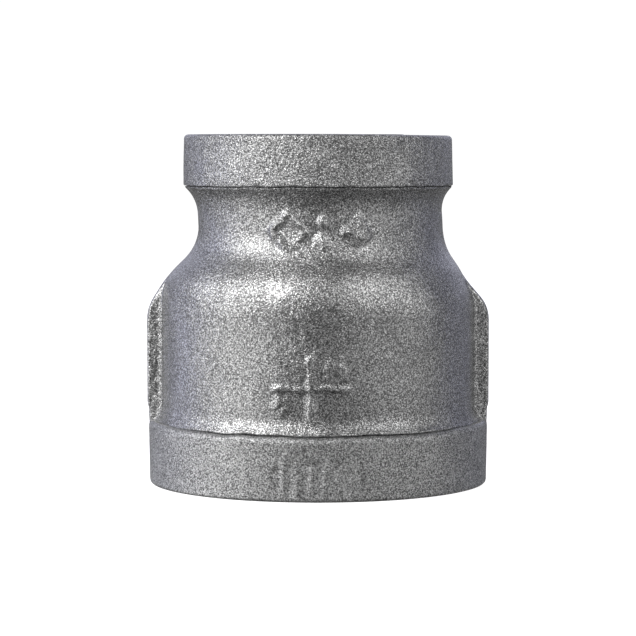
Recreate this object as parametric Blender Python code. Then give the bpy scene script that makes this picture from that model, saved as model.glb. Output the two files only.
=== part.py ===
"""A threaded reducing coupling of cast malleable iron, with a 1-1/4 inch female pipe thread at the foot and
a 3/4 inch one at the top.

The frame: metres, +Z up along the bore. The origin is the centre of the large end's face, on which it
stands. The real fitting is one casting. Each object here is one zone of it: the body wall, the two bands
round its ends, the two ribs on its sides, and the two threaded linings of its bore. JOINT is the gap kept
between the zones.
"""

from math import asin, ceil, cos, hypot, pi, radians, sin, sqrt, tan, tau

import bmesh
import bpy
from mathutils import Matrix

MM = 0.001

# Driving dimensions of the outside
LENGTH = 56.5 * MM
LARGE_BAND_RADIUS = 27.7 * MM
LARGE_BAND_HEIGHT = 10.1 * MM
SMALL_BAND_RADIUS = 21.95 * MM
SMALL_BAND_HEIGHT = 8.25 * MM
BELL_RADIUS = 25.5 * MM
SHOULDER_SLOPE = radians(40.5)
NECK_RADIUS = 19.85 * MM
NECK_FOOT = 41.8 * MM
NECK_HEAD = 43.85 * MM
RIB_RADIUS = 27.9 * MM
RIB_WIDTH = 6.4 * MM

# Driving dimensions of the inside
WALL = 3.7 * MM
CORE_TOP = 39.5 * MM
CORE_SHOULDER = 25.5 * MM
SMALL_CORE_RADIUS = 14.05 * MM

# Taper pipe threads: the pitch, the pitch diameter at the mouth and the effective length of each size.
# Depth and flat are shares of the pitch.
LARGE_THREAD = {"pitch": 2.2088 * MM, "pitch_diameter": 40.218 * MM, "length": 17.95 * MM}
SMALL_THREAD = {"pitch": 1.8143 * MM, "pitch_diameter": 25.118 * MM, "length": 13.86 * MM}
RADIUS_TAPER = 1 / 32
THREAD_DEPTH = 0.8
THREAD_FLAT = 0.05
LINING_BACKING = 1.2 * MM
MOUTH_CHAMFER = 0.6 * MM
RUNOUT_CHAMFER = 0.5 * MM

# Details
JOINT = 0.3 * MM
SHOULDER_ROUND = 11.5 * MM
SHOULDER_FILLET = 8.4 * MM
NECK_FILLET = 5.5 * MM
FOOT_FILLET = 3.2 * MM
LIP = 0.5 * MM
BAND_DRAFT = 0.15 * MM
FACE_ROUND = 0.6 * MM
BAND_EDGE_ROUND = 0.35 * MM
RIB_TOP_ROUND = 6.2 * MM
RIB_TOP_START = 34.0 * MM
RIB_TOP_SLOPE = radians(36.8)
RIB_FOOT_STEP = 0.25 * MM
RIB_FOOT_START = 13.5 * MM
RIB_FOOT_END = 12.0 * MM
RIB_EDGE_ROUND = 0.7 * MM

TURN_STEPS = 48
ARC_STEPS = 4
SMOOTH_ANGLE = radians(40)


def clear_scene():
    for old in list(bpy.data.objects):
        bpy.data.objects.remove(old, do_unlink=True)


def metal(name, colour, roughness):
    """A bare iron surface."""
    material = bpy.data.materials.new(name)
    material.use_nodes = True
    shader = material.node_tree.nodes["Principled BSDF"]
    shader.inputs["Base Color"].default_value = (*colour, 1)
    shader.inputs["Roughness"].default_value = roughness
    shader.inputs["Metallic"].default_value = 0.9
    return material


def arc(centre, radius, start, end, steps=ARC_STEPS):
    """Points on an arc in the (r, z) plane, both ends included; angles in radians from +r towards +z."""
    turns = [start + (end - start) * i / steps for i in range(steps + 1)]
    return [(centre[0] + radius * cos(t), centre[1] + radius * sin(t)) for t in turns]


def ogee(low, high):
    """Two equal arcs, tangent to each other, from one upright wall at low to another, nearer the axis, at
    high."""
    across, up = low[0] - high[0], high[1] - low[1]
    radius = (across**2 + up**2) / (4 * across)
    turn = asin(up / (2 * radius))
    convex = arc((low[0] - radius, low[1]), radius, 0, turn)
    concave = arc((high[0] + radius, high[1]), radius, pi + turn, pi)
    return convex + concave[1:]


def shoulder():
    """A round at the top of the bell, a straight slope and a fillet into the neck, from the bell up."""
    rounding = arc((BELL_RADIUS - SHOULDER_ROUND, 0), SHOULDER_ROUND, 0, SHOULDER_SLOPE)
    centre = (NECK_RADIUS + SHOULDER_FILLET, NECK_FOOT)
    hollow = arc(centre, SHOULDER_FILLET, pi + SHOULDER_SLOPE, pi)
    slope_rise = (rounding[-1][0] - hollow[0][0]) / tan(SHOULDER_SLOPE)
    bell_top = hollow[0][1] - slope_rise - rounding[-1][1]
    return [(r, z + bell_top) for r, z in rounding] + hollow


def neck_fillet():
    """The hollow under the small band, from the neck up to the lip's edge."""
    rise = SMALL_BAND_RADIUS - LIP - NECK_RADIUS
    turn = asin(sqrt(1 - (1 - rise / NECK_FILLET) ** 2))
    return arc((NECK_RADIUS + NECK_FILLET, NECK_HEAD), NECK_FILLET, pi, pi - turn)


def foot_fillet():
    """The hollow over the large band, from the lip's edge up to the bell, ending JOINT above the band."""
    spread = LARGE_BAND_RADIUS - LIP - BELL_RADIUS
    turn = asin(sqrt(1 - (1 - spread / FOOT_FILLET) ** 2))
    drop = FOOT_FILLET * sin(turn)
    centre = (BELL_RADIUS + FOOT_FILLET, LARGE_BAND_HEIGHT + JOINT + drop)
    return arc(centre, FOOT_FILLET, pi + turn, pi)


def bell_side():
    """The body's outside between the bands, from the foot up."""
    return foot_fillet() + shoulder() + neck_fillet()


def lining_radius(thread):
    """The outside of a threaded lining."""
    return thread["pitch_diameter"] / 2 + thread["pitch"] * THREAD_DEPTH / 2 + LINING_BACKING


def turned(name, section, material):
    """A ring made by spinning a closed section of (r, z) points about the Z axis."""
    mesh = bmesh.new()
    corners = [mesh.verts.new((r, 0, z)) for r, z in section]
    for i, corner in enumerate(corners):
        mesh.edges.new((corners[i - 1], corner))
    bmesh.ops.spin(
        mesh,
        geom=mesh.verts[:] + mesh.edges[:],
        cent=(0, 0, 0),
        axis=(0, 0, 1),
        angle=tau,
        steps=TURN_STEPS,
        use_merge=True,
    )
    return finished(name, mesh, material)


def finished(name, mesh, material):
    """Welds a bmesh, turns its faces outwards and makes it an object, shaded smooth but for its sharp
    edges."""
    bmesh.ops.remove_doubles(mesh, verts=mesh.verts, dist=1e-7)
    bmesh.ops.dissolve_degenerate(mesh, edges=mesh.edges, dist=1e-8)
    bmesh.ops.recalc_face_normals(mesh, faces=mesh.faces)
    if mesh.calc_volume(signed=True) < 0:
        bmesh.ops.reverse_faces(mesh, faces=mesh.faces)
    data = bpy.data.meshes.new(name)
    mesh.to_mesh(data)
    mesh.free()
    data.shade_smooth()
    data.set_sharp_from_angle(angle=SMOOTH_ANGLE)
    data.materials.append(material)
    made = bpy.data.objects.new(name, data)
    bpy.context.scene.collection.objects.link(made)
    return made


def cast_body(material):
    """The wall from face to face, stepped in at both ends where the bands go round it and the linings go
    inside."""
    large_seat = lining_radius(LARGE_THREAD) + JOINT
    small_seat = lining_radius(SMALL_THREAD) + JOINT
    large_seat_end = LARGE_THREAD["length"] + JOINT
    small_seat_end = LENGTH - SMALL_THREAD["length"] - JOINT
    large_core = BELL_RADIUS - WALL
    outside = [
        (BELL_RADIUS - JOINT, 0),
        (BELL_RADIUS - JOINT, LARGE_BAND_HEIGHT + JOINT),
        *bell_side(),
        (NECK_RADIUS, LENGTH - SMALL_BAND_HEIGHT - JOINT),
        (NECK_RADIUS, LENGTH),
    ]
    inside = [
        (large_seat, 0),
        (large_seat, large_seat_end),
        (large_core, large_seat_end),
        *ogee((large_core, CORE_SHOULDER), (SMALL_CORE_RADIUS, CORE_TOP)),
        (SMALL_CORE_RADIUS, small_seat_end),
        (small_seat, small_seat_end),
        (small_seat, LENGTH),
    ]
    return turned("cast_body", outside + inside[::-1], material)


def band_section(inner, outer, face, edge):
    """A band from its machined face to its other edge, drawn in a little towards the face and rounded at
    both."""
    way = 1 if edge > face else -1
    drawn = outer - BAND_DRAFT
    at_face = arc((drawn - FACE_ROUND, face + way * FACE_ROUND), FACE_ROUND, -way * pi / 2, 0)
    at_edge = arc((outer - BAND_EDGE_ROUND, edge - way * BAND_EDGE_ROUND), BAND_EDGE_ROUND, 0, way * pi / 2)
    return [(inner, face), *at_face, *at_edge, (inner, edge)]


def bands(material):
    turned("large_end_band", band_section(BELL_RADIUS, LARGE_BAND_RADIUS, 0, LARGE_BAND_HEIGHT), material)
    small = band_section(NECK_RADIUS + JOINT, SMALL_BAND_RADIUS, LENGTH, LENGTH - SMALL_BAND_HEIGHT)
    turned("small_end_band", small, material)


def clear_of(outline, gap):
    """An open outline moved outwards by gap, each point along the mean of its two edges' normals."""
    moved = []
    for i, (r, z) in enumerate(outline):
        back = outline[max(i - 1, 0)]
        ahead = outline[min(i + 1, len(outline) - 1)]
        dr, dz = ahead[0] - back[0], ahead[1] - back[1]
        moved.append((r + gap * dz / hypot(dr, dz), z - gap * dr / hypot(dr, dz)))
    return moved


def rib_outline():
    """A rib's side view in the (r, z) plane: it leaves the shoulder along its slope and runs down to the
    band."""
    back = [p for p in clear_of(bell_side(), JOINT) if p[1] < RIB_TOP_START]
    rounding = (RIB_RADIUS - RIB_TOP_ROUND, RIB_TOP_START)
    tip = back[-1]
    shoulder_r = rounding[0] + RIB_TOP_ROUND * cos(RIB_TOP_SLOPE)
    drop = (shoulder_r - tip[0]) / sin(RIB_TOP_SLOPE) * cos(RIB_TOP_SLOPE)
    centre = (rounding[0], tip[1] - drop - RIB_TOP_ROUND * sin(RIB_TOP_SLOPE))
    front = [
        *arc(centre, RIB_TOP_ROUND, RIB_TOP_SLOPE, 0),
        (RIB_RADIUS, RIB_FOOT_START),
        (RIB_RADIUS - RIB_FOOT_STEP, RIB_FOOT_END),
        (RIB_RADIUS - RIB_FOOT_STEP, back[0][1]),
    ]
    return back + front


def rib(name, side, material):
    """An upright rib on one side of the bell, extruded across its width and eased along its outer edges."""
    mesh = bmesh.new()
    corners = [mesh.verts.new((r, -RIB_WIDTH / 2, z)) for r, z in rib_outline()]
    face = mesh.faces.new(corners)
    pushed = bmesh.ops.extrude_face_region(mesh, geom=[face])["geom"]
    moved = [v for v in pushed if isinstance(v, bmesh.types.BMVert)]
    bmesh.ops.translate(mesh, verts=moved, vec=(0, RIB_WIDTH, 0))
    bmesh.ops.recalc_face_normals(mesh, faces=mesh.faces)
    outer = [e for e in mesh.edges if is_outer_edge(e)]
    bmesh.ops.bevel(mesh, geom=outer, offset=RIB_EDGE_ROUND, segments=2, profile=0.5, affect="EDGES")
    if side < 0:
        bmesh.ops.rotate(mesh, verts=mesh.verts, matrix=Matrix.Rotation(pi, 3, "Z"))
    return finished(name, mesh, material)


def is_outer_edge(edge):
    """True for an edge along one of a rib's flanks, on its proud side."""
    a, b = (v.co for v in edge.verts)
    along = abs(a.y - b.y) < 1e-9
    outside = all(v.x > BELL_RADIUS + 2 * JOINT + RIB_EDGE_ROUND for v in (a, b))
    return along and outside


def bored(thread, depth, crest):
    """The bore's radius at a depth from the mouth, on a crest or in a root of its thread. It is opened up
    by the chamfer at the mouth and by the one where the thread runs out."""
    half = thread["pitch"] * THREAD_DEPTH / 2
    pitch_radius = thread["pitch_diameter"] / 2
    cut = pitch_radius - depth * RADIUS_TAPER + (-half if crest else half)
    mouth = pitch_radius + half + MOUTH_CHAMFER - depth
    last_root = pitch_radius + half - thread["length"] * RADIUS_TAPER
    runout = last_root + RUNOUT_CHAMFER - (thread["length"] - depth)
    return max(cut, mouth, runout)


def thread_rows(thread, turn):
    """One column of a right-hand thread: (radius, depth) at both ends of every crest and root, held inside
    its length. Turn runs from 0 to 1 round the bore."""
    pitch, length = thread["pitch"], thread["length"]
    corners = ((0, True), (THREAD_FLAT, True), (0.5, False), (0.5 + THREAD_FLAT, False))
    rows = []
    for lap in range(-1, ceil(length / pitch) + 1):
        for phase, crest in corners:
            depth = min(max(pitch * (lap + turn + phase), 0), length)
            rows.append((bored(thread, depth, crest), depth))
    return rows


def thread_lining(name, thread, face, way, material):
    """A ring with a taper thread cut inside. The rows of each column rise with the turn, so the last column
    meets the first one lap higher, and the rows held at either end weld into its round edge."""
    mesh = bmesh.new()
    outer = lining_radius(thread)
    columns = []
    for i in range(TURN_STEPS + 1):
        angle = tau * i / TURN_STEPS
        rows = thread_rows(thread, i / TURN_STEPS)
        section = [(outer, 0), *rows, (outer, thread["length"])]
        columns.append([mesh.verts.new((r * cos(angle), r * sin(angle), z)) for r, z in section])
    for left, right in zip(columns, columns[1:]):
        for i in range(len(left)):
            mesh.faces.new((left[i - 1], left[i], right[i], right[i - 1]))
    if way < 0:
        bmesh.ops.rotate(mesh, verts=mesh.verts, matrix=Matrix.Rotation(pi, 3, "X"))
    bmesh.ops.translate(mesh, verts=mesh.verts, vec=(0, 0, face))
    return finished(name, mesh, material)


def main():
    clear_scene()
    cast = metal("cast_skin", (0.36, 0.36, 0.37), 0.45)
    tapped = metal("tapped_thread", (0.46, 0.46, 0.47), 0.3)
    cast_body(cast)
    bands(cast)
    rib("rib_left", -1, cast)
    rib("rib_right", 1, cast)
    thread_lining("large_end_thread", LARGE_THREAD, 0, 1, tapped)
    thread_lining("small_end_thread", SMALL_THREAD, LENGTH, -1, tapped)


main()
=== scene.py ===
"""The looks of a cast-iron reducing coupling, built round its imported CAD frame.

The frame: metres, +Z up along the bore, the large end's face on the floor, the two ribs at -X and +X, and
the front at -Y. Each piece replaces one CAD node with a finer skin: the cast wall, the two bands, the two
ribs and the two threads. The skins meet without the gaps that the CAD solids keep.
"""

from math import acos, atan2, ceil, cos, exp, hypot, pi, radians, sin, sqrt, tan, tau

import bmesh
import bpy
import numpy as np
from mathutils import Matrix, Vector, noise


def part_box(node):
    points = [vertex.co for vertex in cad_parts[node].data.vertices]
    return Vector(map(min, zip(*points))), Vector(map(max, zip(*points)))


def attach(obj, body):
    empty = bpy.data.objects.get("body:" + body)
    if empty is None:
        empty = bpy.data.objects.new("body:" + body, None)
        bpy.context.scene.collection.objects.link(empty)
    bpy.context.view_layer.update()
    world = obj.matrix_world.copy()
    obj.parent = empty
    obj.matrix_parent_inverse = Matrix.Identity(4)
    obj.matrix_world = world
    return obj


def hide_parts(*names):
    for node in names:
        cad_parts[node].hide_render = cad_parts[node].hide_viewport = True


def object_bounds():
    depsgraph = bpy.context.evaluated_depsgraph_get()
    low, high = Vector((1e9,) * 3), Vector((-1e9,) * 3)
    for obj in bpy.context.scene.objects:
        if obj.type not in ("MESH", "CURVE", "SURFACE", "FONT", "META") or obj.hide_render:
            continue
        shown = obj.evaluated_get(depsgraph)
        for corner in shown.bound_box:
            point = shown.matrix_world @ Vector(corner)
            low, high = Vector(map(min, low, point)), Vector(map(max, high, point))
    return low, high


MM = 0.001

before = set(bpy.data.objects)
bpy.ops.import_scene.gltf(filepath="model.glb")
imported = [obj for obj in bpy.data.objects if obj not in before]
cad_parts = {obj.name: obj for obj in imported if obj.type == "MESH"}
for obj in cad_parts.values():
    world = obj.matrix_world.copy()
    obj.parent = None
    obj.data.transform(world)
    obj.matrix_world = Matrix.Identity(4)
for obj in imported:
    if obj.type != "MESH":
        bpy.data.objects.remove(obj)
CAD_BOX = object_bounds()

# The frame's sizes
LARGE_BAND_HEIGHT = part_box("large_end_band")[1].z
SMALL_BAND_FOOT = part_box("small_end_band")[0].z
SMALL_BAND_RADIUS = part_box("small_end_band")[1].x
LENGTH = CAD_BOX[1].z
LARGE_THREAD_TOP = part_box("large_end_thread")[1].z
SMALL_THREAD_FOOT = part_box("small_end_thread")[0].z

# Room left inside the frame's box for the cast grain
GRAIN_ROOM = 0.05 * MM
LARGE_BAND_ROOM = 0.09 * MM
LARGE_BAND_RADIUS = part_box("large_end_band")[1].x - LARGE_BAND_ROOM
RIB_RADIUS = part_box("rib_right")[1].x - GRAIN_ROOM

# The wall's outside
BELL_RADIUS = 25.5 * MM
SHOULDER_ROUND = 11.5 * MM
SHOULDER_SLOPE = radians(40.5)
SHOULDER_FILLET = 8.4 * MM
NECK_RADIUS = 19.85 * MM
NECK_FOOT = 41.8 * MM
NECK_HEAD = 43.85 * MM
NECK_FILLET = 5.5 * MM
NECK_LIP = 0.3 * MM
FOOT_LIP_RADIUS = 26.4 * MM
FOOT_FILLET = 4.0 * MM
FOOT_LIP_ROUND = 0.2 * MM

# The wall's inside
CORE_RADIUS = 21.8 * MM
CORE_SHOULDER = 25.5 * MM
SMALL_CORE_RADIUS = 14.05 * MM
CORE_TOP = 39.5 * MM

# Bands
FACE_ROUND = 0.5 * MM
SMALL_FACE_ROUND = 0.7 * MM
LARGE_LIP_ROUND = 0.9 * MM
SMALL_LIP_ROUND = 0.22 * MM
SMALL_GROOVE = 0.12 * MM
LARGE_GROOVE = 0.08 * MM
BAND_DRAFT = 0.15 * MM

# How far a skin's hidden edges reach into its neighbour
SUNK = 1.2 * MM

# The crease over the large band: how far it fills up towards the sides, and where that starts and ends
CREASE_FILL = 0.3 * MM
CREASE_ENDS = (12 * MM, 23 * MM)

# Ribs
RIB_HALF_WIDTH = 3.1 * MM
RIB_ROOT_FILLET = 1.0 * MM
RIB_EDGE_ROUND = 0.45 * MM
RIB_FLANK = radians(78)
RIB_TOP_SLOPE = radians(36.8)
RIB_TOP_ROUND = 6.2 * MM
RIB_BACK = 1.5 * MM

# A rib's foot: it steps in between two heights, then runs down to just inside the band's side
RIB_FOOT_STEP = 0.25 * MM
RIB_FOOT = (11.8 * MM, 13.3 * MM)
RIB_FOOT_DIP = 0.1 * MM

# A rib's skin: how deep the lowest share of its height is sunk in the wall, and how much of the grain and
# of the flanks' grain its outer edge has
ROOT_SINK = 0.04 * MM
ROOT_SHARE = 1 / 8
RIB_EDGE_GRAIN = 0.5
RIB_EDGE_WEAR = 0.35

# Taper pipe threads: pitch, pitch diameter at the mouth; depth and flat are shares of the pitch
LARGE_THREAD = {"pitch": 2.2088 * MM, "pitch_diameter": 40.218 * MM, "length": LARGE_THREAD_TOP}
SMALL_THREAD = {"pitch": 1.8143 * MM, "pitch_diameter": 25.118 * MM, "length": LENGTH - SMALL_THREAD_FOOT}
RADIUS_TAPER = 1 / 32
THREAD_DEPTH = 0.8
THREAD_FLAT = 0.05
MOUTH_CHAMFER = 0.6 * MM
RUNOUT_CHAMFER = 0.5 * MM
LINING_BACKING = 1.2 * MM
THREAD_STEPS = 192
MERGE = 0.0005 * MM

# How finely the skins are cut
FRONT_STEP = 0.2 * MM
ROUND_STEP = 0.37 * MM
FRONT_HALF_WIDTH = 11 * MM
ROW_STEP = 0.27 * MM
CORE_STEP = 0.9 * MM
HIDDEN_STEP = 4 * MM
RIB_STEP = 0.16 * MM
CURVE_PARTS = 2000

# Angles between faces past which an edge is shaded sharp
CAST_SHARP = radians(50)
THREAD_SHARP = radians(35)

FRONT = -pi / 2


# ---------------------------------------------------------------- outlines


def arc(centre, radius, start, end, step=ROW_STEP):
    """Points on an arc in the (r, z) plane, both ends included; angles in radians from +r towards +z."""
    steps = max(3, ceil(radius * abs(end - start) / step))
    turns = [start + (end - start) * i / steps for i in range(steps + 1)]
    return [(centre[0] + radius * cos(t), centre[1] + radius * sin(t)) for t in turns]


def line(start, end, step=HIDDEN_STEP):
    """Points along a straight stretch, without its two ends."""
    steps = max(1, ceil(hypot(end[0] - start[0], end[1] - start[1]) / step))
    return [tuple(a + (b - a) * i / steps for a, b in zip(start, end)) for i in range(1, steps)]


def joined(*stretches, step=HIDDEN_STEP):
    """One outline through several stretches, with points a step apart on the straight gaps between them."""
    points = []
    for stretch in stretches:
        if points:
            points += line(points[-1], stretch[0], step)
        points += stretch
    return points


def on_ogee(z, low, high):
    """The radius at height z of two equal arcs, tangent to each other, that join two upright walls: one
    at (r, z) low, and one nearer the axis at high."""
    across, up = low[0] - high[0], high[1] - low[1]
    radius = (across**2 + up**2) / (4 * across)
    if z < (low[1] + high[1]) / 2:
        return low[0] - radius + sqrt(radius**2 - (z - low[1]) ** 2)
    return high[0] + radius - sqrt(radius**2 - (high[1] - z) ** 2)


# The shoulder: a round and a fillet, and between them a straight slope that steps in by what they leave
SLOPE_STEP = BELL_RADIUS - NECK_RADIUS - (SHOULDER_ROUND + SHOULDER_FILLET) * (1 - cos(SHOULDER_SLOPE))
SLOPE_RISE = SLOPE_STEP / tan(SHOULDER_SLOPE)
FILLET_FOOT = NECK_FOOT - SHOULDER_FILLET * sin(SHOULDER_SLOPE)
ROUND_HEAD = FILLET_FOOT - SLOPE_RISE
BELL_TOP = ROUND_HEAD - SHOULDER_ROUND * sin(SHOULDER_SLOPE)

# The wall's foot: a fillet that turns out over the large band and ends in a small lip
FOOT_TURN = acos(1 - (FOOT_LIP_RADIUS - BELL_RADIUS) / FOOT_FILLET)
FOOT_LIP = LARGE_BAND_HEIGHT + LARGE_GROOVE / 2 + FOOT_LIP_ROUND * (1 + sin(FOOT_TURN))
FOOT_FILLET_TOP = FOOT_LIP + FOOT_FILLET * sin(FOOT_TURN)
BODY_HEAD = SMALL_BAND_FOOT - SMALL_GROOVE


def wall_radius(z):
    """The outside radius of the wall at height z, between its two ends."""
    if z < FOOT_FILLET_TOP:
        return BELL_RADIUS + FOOT_FILLET - sqrt(FOOT_FILLET**2 - (FOOT_FILLET_TOP - z) ** 2)
    if z < BELL_TOP:
        return BELL_RADIUS
    if z < ROUND_HEAD:
        return BELL_RADIUS - SHOULDER_ROUND + sqrt(SHOULDER_ROUND**2 - (z - BELL_TOP) ** 2)
    if z < FILLET_FOOT:
        return wall_radius(FILLET_FOOT) + (FILLET_FOOT - z) * tan(SHOULDER_SLOPE)
    if z < NECK_FOOT:
        return NECK_RADIUS + SHOULDER_FILLET - sqrt(SHOULDER_FILLET**2 - (NECK_FOOT - z) ** 2)
    if z < NECK_HEAD:
        return NECK_RADIUS
    cove = NECK_RADIUS + NECK_FILLET - sqrt(NECK_FILLET**2 - (z - NECK_HEAD) ** 2)
    return min(cove, SMALL_BAND_RADIUS - NECK_LIP)


# A rib's top: it leaves the wall where the shoulder has its slope, runs straight and rounds over
RIB_TOP = BELL_TOP + SHOULDER_ROUND * sin(RIB_TOP_SLOPE)
RIB_SLOPE_STEP = RIB_RADIUS - RIB_TOP_ROUND * (1 - cos(RIB_TOP_SLOPE)) - wall_radius(RIB_TOP)
RIB_ROUND_HEAD = RIB_TOP - RIB_SLOPE_STEP / tan(RIB_TOP_SLOPE)
RIB_ROUND_FOOT = RIB_ROUND_HEAD - RIB_TOP_ROUND * sin(RIB_TOP_SLOPE)


def rib_radius(z):
    """The outer edge of a rib at height z: down along the shoulder, round, and down to the band."""
    if z > RIB_ROUND_HEAD:
        return wall_radius(RIB_TOP) + (RIB_TOP - z) * tan(RIB_TOP_SLOPE)
    if z > RIB_ROUND_FOOT:
        return RIB_RADIUS - RIB_TOP_ROUND + sqrt(RIB_TOP_ROUND**2 - (z - RIB_ROUND_FOOT) ** 2)
    step = RIB_FOOT_STEP * (1 - soft_step((z - RIB_FOOT[0]) / (RIB_FOOT[1] - RIB_FOOT[0])))
    to_band = RIB_RADIUS - RIB_FOOT_STEP - LARGE_BAND_RADIUS + RIB_FOOT_DIP
    band_lip = LARGE_BAND_HEIGHT - SUNK
    return RIB_RADIUS - step - to_band * (1 - soft_step((z - band_lip) / (RIB_FOOT[0] - band_lip)))


def soft_step(x):
    """0 below 0, 1 above 1 and a smooth rise between them."""
    x = min(max(x, 0.0), 1.0)
    return x * x * (3 - 2 * x)


def climb(radius_at, bottom, top, step=ROW_STEP):
    """Heights from bottom to top, about one step apart along the curve radius_at."""
    fine = [bottom + (top - bottom) * i / CURVE_PARTS for i in range(CURVE_PARTS + 1)]
    run = [0]
    for a, b in zip(fine, fine[1:]):
        run.append(run[-1] + hypot(b - a, radius_at(b) - radius_at(a)))
    count = ceil(run[-1] / step)
    return [float(np.interp(run[-1] * i / count, run, fine)) for i in range(count + 1)]


# ---------------------------------------------------------------- meshes


def columns():
    """Angles round the axis from the front, closer together across the front, where the marks are."""
    edge = FRONT_HALF_WIDTH / BELL_RADIUS
    front = ceil(2 * FRONT_HALF_WIDTH / FRONT_STEP)
    rest = ceil((tau - 2 * edge) * BELL_RADIUS / ROUND_STEP)
    near = [FRONT - edge + 2 * edge * i / front for i in range(front)]
    far = [FRONT + edge + (tau - 2 * edge) * i / rest for i in range(rest)]
    return np.array(near + far)


# The casting's unevenness. Where along the axis the skin is off centre, over what length and how far; where
# a crease is wavy, over what length, how high and how long its waves are; and how much the small end drops
SWAY = ((40.8 * MM, 5.0 * MM, 0.42 * MM), (33.0 * MM, 2.6 * MM, -0.4 * MM))
CREASES = ((SMALL_BAND_FOOT, 1.2 * MM, 0.18 * MM, 3 * MM), (LARGE_BAND_HEIGHT, 1.5 * MM, 0.36 * MM, 5 * MM))
TOP_TILT = 0.22 * MM


def swayed(point):
    """A point of the cast skin, moved by the casting's unevenness: a neck and a shoulder off centre, wavy
    creases under the small band and over the large one, and a small end a little lower on its right."""
    x, y, z = point
    x += sum(off * exp(-(((z - centre) / length) ** 2)) for centre, length, off in SWAY)
    for centre, length, height, wave in CREASES:
        near = exp(-(((z - centre) / length) ** 2))
        z += near * height * noise.noise(Vector((x, y, 0)) / wave)
    up_the_band = (z - SMALL_BAND_FOOT) / (LENGTH - SMALL_BAND_FOOT)
    z -= TOP_TILT * soft_step(x / BELL_RADIUS) * soft_step(up_the_band)
    return x, y, z


def added(name, data):
    """A new object of the scene, made from its data."""
    made = bpy.data.objects.new(name, data)
    bpy.context.scene.collection.objects.link(made)
    return made


def mesh_piece(data, materials, sharp):
    """A piece that rides on the root body, shaded smooth but for edges past a sharp angle."""
    data.shade_smooth()
    data.set_sharp_from_angle(angle=sharp)
    for material in materials:
        data.materials.append(material)
    made = added(data.name, data)
    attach(made, "root")
    return made


def cast_piece(name, points, faces, materials):
    """A piece of the cast skin from its points and faces."""
    data = bpy.data.meshes.new(name)
    data.from_pydata([swayed(point) for point in points], [], faces)
    data.update()
    return mesh_piece(data, materials, CAST_SHARP)


def spun(name, outline, materials, relief):
    """A ring from a closed outline of (r, z) points, in the order that has the metal on the left. Relief
    gives how far each point is moved along the outline's normal."""
    angles = columns()
    section = np.array(outline)
    along = np.roll(section, -1, axis=0) - np.roll(section, 1, axis=0)
    along /= np.linalg.norm(along, axis=1)[:, None]
    out_r, out_z = along[:, 1], -along[:, 0]
    rows, cols = len(section), len(angles)
    cos_a, sin_a = np.cos(angles), np.sin(angles)
    radius, height = np.repeat(section[:, :1], cols, 1), np.repeat(section[:, 1:], cols, 1)
    points = np.stack([radius * cos_a, radius * sin_a, height], axis=2)
    moved = relief(points, out_r, section)
    radius = radius + moved * out_r[:, None]
    height = height + moved * out_z[:, None]
    points = np.stack([radius * cos_a, radius * sin_a, height], axis=2).reshape(-1, 3)
    faces = []
    for i in range(rows):
        here, above = i * cols, (i + 1) % rows * cols
        for j in range(cols):
            beside = (j + 1) % cols
            faces.append((here + j, here + beside, above + beside, above + j))
    return cast_piece(name, points.tolist(), faces, materials)


# ---------------------------------------------------------------- relief

# Noises that add up to a rough surface, each with a wavelength and a height
GRAIN = ((5.0 * MM, 0.020 * MM), (1.8 * MM, 0.012 * MM), (0.8 * MM, 0.008 * MM))
FLANK_GRAIN = ((1.1 * MM, 0.16 * MM), (0.5 * MM, 0.07 * MM))


def rough_height(point, noises):
    """The height of a rough surface at one point."""
    return sum(height * noise.noise(Vector(point) / wave) for wave, height in noises)


# Where the front is crinkled: the centre across and up, the half width and half height, and how strongly
CRINKLED = (
    (-3 * MM, 52.5 * MM, 14 * MM, 6 * MM, 1.5),
    (0, 42 * MM, 9 * MM, 4 * MM, 1.5),
    (-1 * MM, 25 * MM, 8 * MM, 8 * MM, 1.6),
    (0, 13 * MM, 10 * MM, 3 * MM, 0.8),
)
CRINKLE = ((0.9 * MM, 0.055 * MM), (0.55 * MM, 0.03 * MM))
LEAST_CRINKLED = 0.02


def crinkles(point):
    """The coarser creasing of the skin at one point of the front, within the crinkled patches."""
    x, y, z = point
    if y > 0:
        return 0.0
    weight = sum(w * exp(-(((x - cx) / hw) ** 2) - ((z - cz) / hh) ** 2) for cx, cz, hw, hh, w in CRINKLED)
    if weight < LEAST_CRINKLED:
        return 0.0
    return weight * rough_height(point, CRINKLE)


def bar(across, up, centre, half_length, half_width, tilt=0.0):
    """Distance from a straight bar with round ends; tilt is its angle from level."""
    x, y = across - centre[0], up - centre[1]
    run = x * cos(tilt) + y * sin(tilt)
    off = -x * sin(tilt) + y * cos(tilt)
    return hypot(max(abs(run) - half_length, 0), off) - half_width


# Plain raised marks on the front: how wide their edges are, and the noises, each with a wavelength and a
# strength, that wear their height and make their outline wander
MARK_EDGE = 1.25 * MM
MARK_WEAR = ((1.9 * MM, 0.7), (0.7 * MM, 0.49))
MARK_WANDER = ((1.3 * MM, 0.4 * MM),)


def lozenge(across, up, centre, half_size):
    """Distance from a solid square that stands on its corner."""
    return (abs(across - centre[0]) + abs(up - centre[1]) - half_size) * sqrt(0.5)


def dome(across, up, centre, radius):
    """Distance from a low round dome, halved so that it falls away gently from its middle."""
    return (hypot(across - centre[0], up - centre[1]) - radius) / 2


def bell_mark(across, up):
    """A plain cross with a dome in two of its quarters, its upright thicker than its crossbar."""
    x, y = -1.1 * MM, 17.2 * MM
    return min(
        bar(across, up, (x, y), 5.8 * MM, 0.3 * MM),
        bar(across, up, (x, y), 4.4 * MM, 0.5 * MM, pi / 2),
        dome(across, up, (x + 3.6 * MM, y + 3.4 * MM), 1.1 * MM),
        dome(across, up, (x - 4.4 * MM, y - 2.2 * MM), 1.0 * MM),
    )


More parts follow.
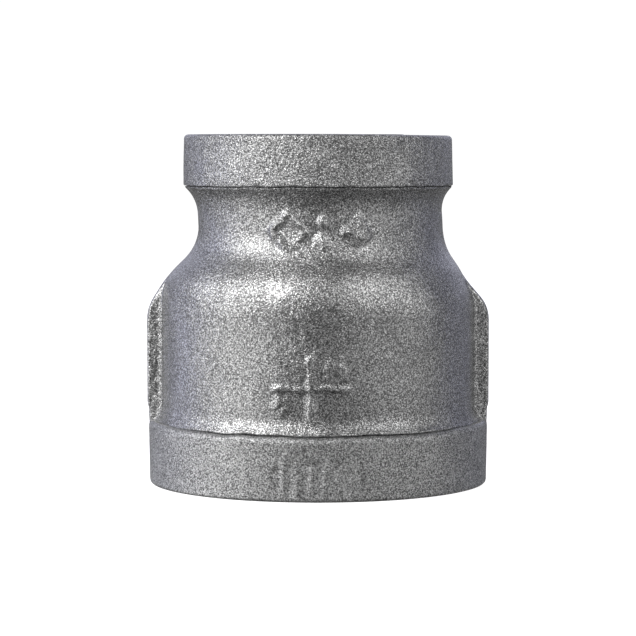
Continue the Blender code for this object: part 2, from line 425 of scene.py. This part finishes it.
def neck_mark(across, up):
    """A hollow lozenge, two stacked domes and a solid lozenge, in a row."""
    x, y = 0.4 * MM, 41.3 * MM
    return min(
        abs(lozenge(across, up, (x - 5.4 * MM, y), 2.9 * MM)) - 0.4 * MM,
        dome(across, up, (x, y + 1.6 * MM), 0.8 * MM),
        dome(across, up, (x, y - 1.6 * MM), 0.8 * MM),
        lozenge(across, up, (x + 5.6 * MM, y), 2.6 * MM),
    )


def tally_mark(across, up):
    """Six upright bars, worn low, on the large band."""
    first, apart, y = -5.4 * MM, 2.2 * MM, 3.6 * MM
    return min(bar(across, up, (first + apart * i, y), 2.1 * MM, 0.35 * MM, pi / 2) for i in range(6))


def tally_panel(across, up):
    """The shallow worn panel that the upright bars stand in."""
    return bar(across, up, (0.1 * MM, 3.6 * MM), 4.4 * MM, 2.7 * MM)


def dot_mark(across, up):
    """A worn boss on the small band."""
    return dome(across, up, (0.2 * MM, 52.2 * MM), 1.3 * MM)


# Each piece's marks, and how far they stand up
BODY_MARKS = ((bell_mark, 0.37 * MM), (neck_mark, 0.55 * MM))
LARGE_BAND_MARKS = ((tally_mark, 0.3 * MM), (tally_panel, -0.18 * MM))
SMALL_BAND_MARKS = ((dot_mark, 0.22 * MM),)


def marks_height(marks, x, y, z):
    """How far the raised marks stand up at a point on the outside."""
    if y > 0 or abs(x) > FRONT_HALF_WIDTH:
        return 0.0
    across = hypot(x, y) * (atan2(y, x) - FRONT)
    wear = 1 + rough_height((x, y, z), MARK_WEAR)
    wander = rough_height((x, y, z), MARK_WANDER)
    stands = 0.0
    for mark, height in marks:
        stands += height * soft_step(0.5 - (mark(across, z) + wander) / MARK_EDGE)
    return wear * stands


# How far from its limits the relief reaches its full height
RELIEF_FADE = 0.5 * MM


def cast_relief(limits, marks, most=MM):
    """A relief function for spun: grain all round, and marks and crinkles on the outside's front, none of
    it higher than most. It fades out towards the two heights in limits, so that a machined face or a seam
    there stays true."""

    def relief(points, out_r, section):
        moved = np.zeros(points.shape[:2])
        for i, z in enumerate(section[:, 1]):
            fade = soft_step((z - limits[0]) / RELIEF_FADE) * soft_step((limits[1] - z) / RELIEF_FADE)
            if fade == 0:
                continue
            for j in range(points.shape[1]):
                x, y, _ = points[i, j]
                moved[i, j] = fade * rough_height((x, y, z), GRAIN)
                if out_r[i] > 0:
                    moved[i, j] += marks_height(marks, x, y, z) + crinkles((x, y, z)) * fade
                moved[i, j] = min(moved[i, j], most)
        return moved

    return relief


# ---------------------------------------------------------------- pieces


def lining_radius(thread):
    """The hidden outside of a threaded lining."""
    return thread["pitch_diameter"] / 2 + thread["pitch"] * THREAD_DEPTH / 2 + LINING_BACKING


def mouth_radius(thread):
    """The radius of a bore's chamfer where it meets the end face."""
    return thread["pitch_diameter"] / 2 + thread["pitch"] * THREAD_DEPTH / 2 + MOUTH_CHAMFER


def body_skin(material):
    """The wall: bell, shoulder and neck outside, cast core inside, its two ends sunk into the bands."""
    heights = climb(wall_radius, FOOT_LIP, BODY_HEAD)
    outside = [(wall_radius(z), z) for z in heights]
    lip_middle = FOOT_LIP_RADIUS - FOOT_LIP_ROUND * cos(FOOT_TURN)
    lip_centre = (lip_middle, FOOT_LIP - FOOT_LIP_ROUND * sin(FOOT_TURN))
    lip = arc(lip_centre, FOOT_LIP_ROUND, -pi / 2, FOOT_TURN, FOOT_LIP_ROUND / 4)[:-1]
    foot = [(lip[0][0] - SUNK, LARGE_BAND_HEIGHT - SUNK), (lip[0][0] - SUNK / 3, lip[0][1])]
    head = [(NECK_RADIUS + SUNK / 2, BODY_HEAD), (NECK_RADIUS, SMALL_BAND_FOOT + SUNK)]
    low, high = (CORE_RADIUS, CORE_SHOULDER), (SMALL_CORE_RADIUS, CORE_TOP)
    core_heights = climb(lambda z: on_ogee(z, low, high), CORE_SHOULDER, CORE_TOP, CORE_STEP)
    core = [(on_ogee(z, low, high), z) for z in core_heights]
    small_seat = [(SMALL_CORE_RADIUS, SMALL_THREAD_FOOT), (lining_radius(SMALL_THREAD), SMALL_THREAD_FOOT)]
    large_seat = [(lining_radius(LARGE_THREAD), LARGE_THREAD_TOP), (CORE_RADIUS, LARGE_THREAD_TOP)]
    inside = (small_seat[::-1], core[::-1], large_seat[::-1])
    outline = joined(foot, lip, outside, head, *inside, step=CORE_STEP * 2)
    limits = (LARGE_BAND_HEIGHT, SMALL_BAND_FOOT)
    made = spun("body_skin", outline, [material], cast_relief(limits, BODY_MARKS))
    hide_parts("cast_body")


def large_band_skin(cast, machined):
    """The large end's band, a full ring from the thread's mouth out, with its machined face down."""
    face_radius = LARGE_BAND_RADIUS - BAND_DRAFT
    top = LARGE_BAND_HEIGHT - LARGE_GROOVE / 2
    foot = arc((face_radius - FACE_ROUND, FACE_ROUND), FACE_ROUND, -pi / 2, 0)
    lip = arc((LARGE_BAND_RADIUS - LARGE_LIP_ROUND, top - LARGE_LIP_ROUND), LARGE_LIP_ROUND, 0, pi / 2)
    side = line(foot[-1], lip[0], ROW_STEP)
    mouth = (mouth_radius(LARGE_THREAD), 0)
    hidden = [(BELL_RADIUS - SUNK, top), (mouth[0] + SUNK, top / 2)]
    outline = joined([mouth], foot + side + lip, hidden)
    grained = cast_relief((0, LENGTH), LARGE_BAND_MARKS, LARGE_BAND_ROOM)

    def relief(points, out_r, section):
        """The grain, with the band's top raised towards both sides, where the crease over it dies out."""
        up_the_lip = np.clip((section[:, 1] - top + LARGE_LIP_ROUND) / LARGE_LIP_ROUND, 0, 1) ** 2
        starts, ends = CREASE_ENDS
        aside = np.array([soft_step((abs(x) - starts) / (ends - starts)) for x in points[0, :, 0]])
        return grained(points, out_r, section) + CREASE_FILL * up_the_lip[:, None] * aside

    made = spun("large_band_skin", outline, [cast, machined], relief)
    paint_face(made, 0)
    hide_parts("large_end_band")


def small_band_skin(cast, machined):
    """The small end's band, with its machined face up."""
    face_radius = SMALL_BAND_RADIUS - GRAIN_ROOM - BAND_DRAFT
    foot_radius = SMALL_BAND_RADIUS - GRAIN_ROOM
    foot_centre = (foot_radius - SMALL_LIP_ROUND, SMALL_BAND_FOOT + SMALL_LIP_ROUND)
    foot = arc(foot_centre, SMALL_LIP_ROUND, -pi / 2, 0)
    head_centre = (face_radius - SMALL_FACE_ROUND, LENGTH - SMALL_FACE_ROUND)
    head = arc(head_centre, SMALL_FACE_ROUND, 0, pi / 2)
    side = line(foot[-1], head[0], ROW_STEP)
    mouth = (mouth_radius(SMALL_THREAD), LENGTH)
    hidden = [(mouth[0] + SUNK, LENGTH - SMALL_THREAD["length"] / 3), (NECK_RADIUS - SUNK, SMALL_BAND_FOOT)]
    outline = joined(foot + side + head, [mouth], hidden)
    relief = cast_relief((0, LENGTH), SMALL_BAND_MARKS)
    made = spun("small_band_skin", outline, [cast, machined], relief)
    paint_face(made, LENGTH)
    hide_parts("small_end_band")


# How upright a face's normal has to be for the face to be level
LEVEL = 0.999


def paint_face(made, height):
    """Gives the level faces near a height the second material."""
    for face in made.data.polygons:
        if abs(face.normal.z) > LEVEL and abs(face.center.z - height) < GRAIN_ROOM + TOP_TILT:
            face.material_index = 1


def rib_section():
    """Half of a rib's full-size section, from root to middle: (distance from the middle, height)."""
    full = RIB_RADIUS - BELL_RADIUS
    root_fillet, edge = RIB_ROOT_FILLET, RIB_EDGE_ROUND
    turn = RIB_FLANK
    flank_foot = root_fillet * (1 - cos(turn))
    flank_head = full - edge * (1 - cos(turn))
    lean = (flank_head - flank_foot) * cos(turn) / sin(turn)
    edge_out = RIB_HALF_WIDTH - edge * (1 - sin(turn))
    edge_centre = (edge_out - edge * sin(turn), full - edge)
    foot_centre = (edge_out + lean + root_fillet * sin(turn), root_fillet)
    concave = arc(foot_centre, root_fillet, -pi / 2, -pi / 2 - turn, RIB_STEP)
    convex = arc(edge_centre, edge, pi / 2 - turn, pi / 2, RIB_STEP)
    middle = line(convex[-1], (0, full), RIB_STEP * 2)
    return concave + line(concave[-1], convex[0], RIB_STEP) + convex + middle + [(0, full)]


def rib_skin(name, node, middle, material):
    """A rib whose root runs out into the wall on all sides, with its back sunk in the wall. Middle is its
    angle round the axis. Its flanks are rough, and its outer edge is only ever worn inwards, so that it
    stays in the box."""
    half = rib_section()
    full = RIB_RADIUS - BELL_RADIUS
    section = [(-y, h) for y, h in half] + [(y, h) for y, h in half[-2::-1]]
    heights = climb(rib_radius, LARGE_BAND_HEIGHT - SUNK, RIB_TOP, RIB_STEP)
    points = []
    for z in heights:
        wall = wall_radius(max(z, FOOT_LIP))
        proud = max(rib_radius(z) - wall, 0)
        for y, h in section:
            angle = y / BELL_RADIUS + middle
            share = h / full
            radius = wall + proud * share - ROOT_SINK * (1 - soft_step(share / ROOT_SHARE))
            spot = (radius * cos(angle), radius * sin(angle), z)
            skin = rough_height(spot, GRAIN)
            radius += skin * (1 - share) - abs(skin) * share * RIB_EDGE_GRAIN
            outward = 1 if y > 0 else -1
            angle += outward * rough_height(spot, FLANK_GRAIN) * 4 * share * (1 - share) / radius
            radius -= abs(rough_height((z, *spot[:2]), FLANK_GRAIN)) * share * RIB_EDGE_WEAR
            points.append((radius * cos(angle), radius * sin(angle), z))
    rows, cols = len(heights), len(section)
    back = len(points)
    for i, z in enumerate(heights):
        inner = wall_radius(max(z, FOOT_LIP)) - RIB_BACK
        for y in (section[0][0], section[-1][0]):
            angle = y / BELL_RADIUS + middle
            points.append((inner * cos(angle), inner * sin(angle), z))
    faces = [
        (i * cols + j, i * cols + j + 1, (i + 1) * cols + j + 1, (i + 1) * cols + j)
        for i in range(rows - 1)
        for j in range(cols - 1)
    ]
    for i in range(rows - 1):
        left, right = back + 2 * i, back + 2 * i + 1
        faces.append((left, i * cols, (i + 1) * cols, left + 2))
        faces.append((i * cols + cols - 1, right, right + 2, (i + 1) * cols + cols - 1))
        faces.append((right, left, left + 2, right + 2))
    last = (rows - 1) * cols
    faces.append([back, back + 1] + [cols - 1 - j for j in range(cols)])
    faces.append([back + 2 * rows - 1, back + 2 * rows - 2] + [last + j for j in range(cols)])
    made = cast_piece(name, points, faces, [material])
    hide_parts(node)


def thread_point(thread, depth, crest):
    """The bore's radius at a depth from the mouth, on a crest or in a root, with its two chamfers."""
    half = thread["pitch"] * THREAD_DEPTH / 2
    pitch_radius = thread["pitch_diameter"] / 2
    cut = pitch_radius - depth * RADIUS_TAPER + (-half if crest else half)
    mouth = pitch_radius + half + MOUTH_CHAMFER - depth
    last_root = pitch_radius + half - thread["length"] * RADIUS_TAPER
    runout = last_root + RUNOUT_CHAMFER - (thread["length"] - depth)
    return max(cut, mouth, runout)


def thread_column(thread, turn):
    """One column of a right-hand thread: (radius, depth) at both ends of every crest and root."""
    corners = ((0, True), (THREAD_FLAT, True), (0.5, False), (0.5 + THREAD_FLAT, False))
    rows = []
    for lap in range(-1, ceil(thread["length"] / thread["pitch"]) + 1):
        for phase, crest in corners:
            depth = min(max(thread["pitch"] * (lap + turn + phase), 0), thread["length"])
            rows.append((thread_point(thread, depth, crest), depth))
    return rows


def thread_skin(name, node, thread, face, way, material):
    """A tapped lining: helical crests and roots, with a hidden back that leans away from the mouth. Way is
    +1 where the bore opens at the bottom face and -1 where it opens at the top one."""
    mesh = bmesh.new()
    outer = lining_radius(thread)
    grid = []
    for i in range(THREAD_STEPS + 1):
        angle = tau * i / THREAD_STEPS
        section = [*thread_column(thread, i / THREAD_STEPS), (outer, thread["length"]), (outer, SUNK)]
        grid.append([mesh.verts.new((r * cos(angle), r * sin(angle), z)) for r, z in section])
    for left, right in zip(grid, grid[1:]):
        for i in range(len(left)):
            mesh.faces.new((left[i - 1], left[i], right[i], right[i - 1]))
    bmesh.ops.remove_doubles(mesh, verts=mesh.verts, dist=MERGE)
    bmesh.ops.recalc_face_normals(mesh, faces=mesh.faces)
    if mesh.calc_volume(signed=True) < 0:
        bmesh.ops.reverse_faces(mesh, faces=mesh.faces)
    for vert in mesh.verts:
        x, y, z = vert.co
        vert.co = (x, y, face + z) if way > 0 else (x, -y, face - z)
    data = bpy.data.meshes.new(name)
    mesh.to_mesh(data)
    mesh.free()
    made = mesh_piece(data, [material], THREAD_SHARP)
    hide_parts(node)


# ---------------------------------------------------------------- materials


class Nodes:
    """A short way to build a material's node tree, with coordinates in millimetres."""

    def __init__(self, name):
        self.material = bpy.data.materials.new(name)
        self.material.use_nodes = True
        self.tree = self.material.node_tree
        self.shader = self.tree.nodes["Principled BSDF"]
        place = self.tree.nodes.new("ShaderNodeTexCoord")
        scale = self.tree.nodes.new("ShaderNodeVectorMath")
        scale.operation = "SCALE"
        scale.inputs["Scale"].default_value = 1 / MM
        self.join(place.outputs["Object"], scale.inputs[0])
        self.place = scale.outputs[0]

    def join(self, output, target):
        self.tree.links.new(output, target)

    def noise(self, size, detail=2.0, roughness=0.5, distortion=0.0):
        """Noise between 0 and 1 whose lumps are size millimetres apart."""
        node = self.tree.nodes.new("ShaderNodeTexNoise")
        node.inputs["Scale"].default_value = 1 / size
        node.inputs["Detail"].default_value = detail
        node.inputs["Roughness"].default_value = roughness
        node.inputs["Distortion"].default_value = distortion
        self.join(self.place, node.inputs["Vector"])
        return node.outputs["Fac"]

    def maths(self, operation, first, second):
        node = self.tree.nodes.new("ShaderNodeMath")
        node.operation = operation
        for value, socket in ((first, node.inputs[0]), (second, node.inputs[1])):
            if isinstance(value, (int, float)):
                socket.default_value = value
            else:
                self.join(value, socket)
        return node.outputs[0]

    def split(self, vector):
        """The outputs X, Y and Z of a vector."""
        node = self.tree.nodes.new("ShaderNodeSeparateXYZ")
        self.join(vector, node.inputs[0])
        return node.outputs

    def spread(self, value, low, high, to_low, to_high):
        """Maps low..high to to_low..to_high, held at the ends."""
        node = self.tree.nodes.new("ShaderNodeMapRange")
        for socket, number in zip(list(node.inputs)[1:5], (low, high, to_low, to_high)):
            socket.default_value = number
        self.join(value, node.inputs[0])
        return node.outputs[0]

    def ramp(self, value, *stops):
        """Colours by value: each stop is (position, colour)."""
        node = self.tree.nodes.new("ShaderNodeValToRGB")
        while len(node.color_ramp.elements) < len(stops):
            node.color_ramp.elements.new(0.5)
        for element, (position, colour) in zip(node.color_ramp.elements, stops):
            element.position = position
            element.color = (*colour, 1)
        self.join(value, node.inputs["Fac"])
        return node.outputs["Color"]

    def bump(self, height, depth, under=None):
        """Bumps of a depth in metres, on top of another bump."""
        node = self.tree.nodes.new("ShaderNodeBump")
        node.inputs["Strength"].default_value = 1
        node.inputs["Distance"].default_value = depth
        self.join(height, node.inputs["Height"])
        if under is not None:
            self.join(under, node.inputs["Normal"])
        return node.outputs["Normal"]


def grey(level):
    return (level, level, level)


def cast_skin_material():
    """Zinc over sand-cast iron: a fine sharp grain, with light and dark specks, over softer lumps. The
    grain is stronger towards the small end."""
    nodes = Nodes("cast_skin")
    shader = nodes.shader.inputs
    lumps = nodes.noise(1.5, 2, 0.5)
    middle = nodes.noise(0.6, 2, 0.6, 1.2)
    fine = nodes.noise(0.2, 1, 0.6)
    specks = nodes.noise(0.2, 1, 0.6, 0.8)
    clouds = nodes.noise(7, 3, 0.5)
    height = nodes.split(nodes.place)["Z"]

    # How strong the grain is: by height in millimetres, and in soft patches
    by_height = nodes.spread(height, 34, 52, 0.8, 1.55)
    patches = nodes.spread(nodes.noise(6, 2, 0.5), 0.35, 0.65, 0.6, 1.25)
    harsh = nodes.maths("MULTIPLY", by_height, patches)

    # The large band is duller than the rest, and painted a little paler: the paler colour is painted light,
    # standing in for light reflected up from the floor
    band_top = LARGE_BAND_HEIGHT / MM
    band_dull_and_painted_light = nodes.spread(height, band_top - 0.2, band_top + 0.2, 0.3, 0)
    mixed = nodes.maths("ADD", nodes.maths("MULTIPLY", specks, 0.93), nodes.maths("MULTIPLY", clouds, 0.07))
    # Painted light: the large band's colour is lifted a little, standing in for light reflected up from the
    # floor
    mixed = nodes.maths("ADD", mixed, nodes.maths("MULTIPLY", band_dull_and_painted_light, 0.025))
    colour = nodes.ramp(mixed, (0.4, grey(0.13)), (0.5, grey(0.34)), (0.6, grey(0.8)))
    nodes.join(colour, shader["Base Color"])
    polish = nodes.spread(middle, 0.3, 0.7, 0.14, 0.24)
    nodes.join(nodes.maths("ADD", polish, band_dull_and_painted_light), shader["Roughness"])
    shader["Metallic"].default_value = 0.95

    bumps = nodes.bump(lumps, 0.05 * MM)
    bumps = nodes.bump(nodes.maths("MULTIPLY", middle, harsh), 0.1 * MM, bumps)
    bumps = nodes.bump(nodes.maths("MULTIPLY", fine, harsh), 0.09 * MM, bumps)
    nodes.join(bumps, shader["Normal"])
    return nodes.material


def machined_material(name, colour, roughness, groove):
    """Bare cut iron, with fine rings left by the tool round the axis, a groove's millimetres apart."""
    nodes = Nodes(name)
    shader = nodes.shader.inputs
    place = nodes.split(nodes.place)
    x, y = place["X"], place["Y"]
    squares = nodes.maths("ADD", nodes.maths("MULTIPLY", x, x), nodes.maths("MULTIPLY", y, y))
    from_axis = nodes.maths("SQRT", squares, 0)
    rings = nodes.maths("SINE", nodes.maths("MULTIPLY", from_axis, tau / groove), 0)
    speckle = nodes.noise(0.5, 3, 0.6)
    stain = nodes.noise(5, 3, 0.5)
    dark = tuple(channel * 0.72 for channel in colour)
    nodes.join(nodes.ramp(stain, (0.35, dark), (0.65, colour)), shader["Base Color"])
    nodes.join(nodes.spread(speckle, 0.3, 0.7, roughness * 0.8, roughness * 1.25), shader["Roughness"])
    shader["Metallic"].default_value = 1.0
    bumps = nodes.bump(rings, 0.006 * MM)
    bumps = nodes.bump(speckle, 0.02 * MM, bumps)
    nodes.join(bumps, shader["Normal"])
    return nodes.material


# ---------------------------------------------------------------- studio

EYE = (0, -420 * MM, 55 * MM)
TARGET = (0, 0, 26.6 * MM)
LENS = 146
CLIP_START = 10 * MM

# The floor's half size, and how far it lies under the large end's face
FLOOR_REACH = 4.0
FLOOR_DROP = 0.02 * MM

# The world: its brightness to the camera and in reflections, and how dim the reflected room gets below the
# horizon, between which two upward parts of a direction
WHITE = 1.05
ROOM_GLOW = 0.2
ROOM_DIM = 0.3
ROOM_HORIZON = (-0.7, -0.25)


def floor():
    """A plain white floor, kept out of the metal's reflections."""
    corners = [(x * FLOOR_REACH, y * FLOOR_REACH, 0) for x, y in ((-1, -1), (1, -1), (1, 1), (-1, 1))]
    data = bpy.data.meshes.new("floor")
    data.from_pydata(corners, [], [(0, 1, 2, 3)])
    made = added("floor", data)
    nodes = Nodes("floor_white")
    shader = nodes.shader.inputs
    shader["Roughness"].default_value = 0.9
    tone = nodes.ramp(nodes.noise(40, 2), (0.4, grey(0.86)), (0.6, grey(0.88)))
    nodes.join(tone, shader["Base Color"])
    shader["Emission Color"].default_value = (1, 1, 1, 1)
    shader["Emission Strength"].default_value = 0.9
    data.materials.append(nodes.material)
    made.visible_glossy = False
    made.visible_shadow = False
    made.location.z = -FLOOR_DROP


def backdrop_world():
    """White behind the object; in its reflections a dim grey room, darker below."""
    world = bpy.data.worlds.new("studio")
    world.use_nodes = True
    tree = world.node_tree
    room = tree.nodes["Background"]
    room.inputs["Strength"].default_value = ROOM_GLOW
    place = tree.nodes.new("ShaderNodeTexCoord")
    split = tree.nodes.new("ShaderNodeSeparateXYZ")
    below = tree.nodes.new("ShaderNodeMapRange")
    for socket, number in zip(list(below.inputs)[1:5], (*ROOM_HORIZON, ROOM_DIM, 1)):
        socket.default_value = number
    tree.links.new(place.outputs["Generated"], split.inputs[0])
    tree.links.new(split.outputs["Z"], below.inputs[0])
    tree.links.new(below.outputs[0], room.inputs["Color"])
    white = tree.nodes.new("ShaderNodeBackground")
    white.inputs["Color"].default_value = (1, 1, 1, 1)
    white.inputs["Strength"].default_value = WHITE
    seen = tree.nodes.new("ShaderNodeLightPath")
    mix = tree.nodes.new("ShaderNodeMixShader")
    tree.links.new(seen.outputs["Is Camera Ray"], mix.inputs[0])
    tree.links.new(room.outputs[0], mix.inputs[1])
    tree.links.new(white.outputs[0], mix.inputs[2])
    tree.links.new(mix.outputs[0], tree.nodes["World Output"].inputs["Surface"])
    bpy.context.scene.world = world


# Azimuth and elevation in degrees, width and height in metres, power in watts, colour. Azimuth 0 is the
# camera's side, positive to its right.
NEUTRAL = (1, 1, 1)
VIOLET = (0.75, 0.77, 1)
DEEP_VIOLET = (0.4, 0.45, 1)
LIGHT_DISTANCE = 0.6
LIGHTS = {
    "left_wall": (-60, 12, 0.8, 0.9, 1.6, NEUTRAL),
    "left_core": (-75, 26, 0.25, 0.25, 0.5, NEUTRAL),
    "left_rear": (-115, 10, 0.4, 0.7, 0.55, VIOLET),
    "left_slope": (-100, 58, 0.35, 0.3, 0.14, NEUTRAL),
    "right_wall": (62, 12, 0.8, 0.8, 0.45, NEUTRAL),
    "right_core": (62, 26, 0.3, 0.3, 0.2, NEUTRAL),
    "left_low": (-80, -28, 0.5, 0.2, 0.35, NEUTRAL),
    "right_low": (45, -30, 0.5, 0.2, 0.11, NEUTRAL),
    "right_rear": (125, 10, 0.4, 0.7, 0.09, DEEP_VIOLET),
    "top_left": (-42, 43, 0.35, 0.3, 0.95, NEUTRAL),
    "top_right": (42, 43, 0.35, 0.3, 0.33, NEUTRAL),
    "behind": (180, 30, 0.8, 0.6, 0.7, VIOLET),
}


def soft_box(name, azimuth, elevation, width, height, power, colour):
    """An area light aimed at the object."""
    data = bpy.data.lights.new(name, "AREA")
    data.shape = "RECTANGLE"
    data.size, data.size_y = width, height
    data.energy = power
    data.color = colour
    made = added(name, data)
    a, e = radians(azimuth), radians(elevation)
    away = Vector((sin(a) * cos(e), -cos(a) * cos(e), sin(e)))
    made.location = Vector(TARGET) + away * LIGHT_DISTANCE
    made.rotation_mode = "QUATERNION"
    made.rotation_quaternion = away.to_track_quat("Z", "Y")


def studio():
    """The floor, the world, the lights and the camera."""
    floor()
    backdrop_world()
    for name, light in LIGHTS.items():
        soft_box(name, *light)
    data = bpy.data.cameras.new("camera")
    data.lens = LENS
    data.clip_start = CLIP_START
    camera = added("camera", data)
    camera.location = EYE
    camera.rotation_mode = "QUATERNION"
    camera.rotation_quaternion = (Vector(EYE) - Vector(TARGET)).to_track_quat("Z", "Y")
    bpy.context.scene.camera = camera
    bpy.context.scene.view_settings.view_transform = "Standard"


def main():
    cast = cast_skin_material()
    face = machined_material("machined_face", colour=(0.5, 0.5, 0.5), roughness=0.34, groove=0.4)
    tapped = machined_material("tapped_thread", colour=(0.46, 0.46, 0.47), roughness=0.3, groove=0.35)
    body_skin(cast)
    large_band_skin(cast, face)
    small_band_skin(cast, face)
    rib_skin("rib_left_skin", "rib_left", pi, cast)
    rib_skin("rib_right_skin", "rib_right", 0, cast)
    thread_skin("large_thread_skin", "large_end_thread", LARGE_THREAD, 0, 1, tapped)
    thread_skin("small_thread_skin", "small_end_thread", SMALL_THREAD, LENGTH, -1, tapped)
    studio()


main()
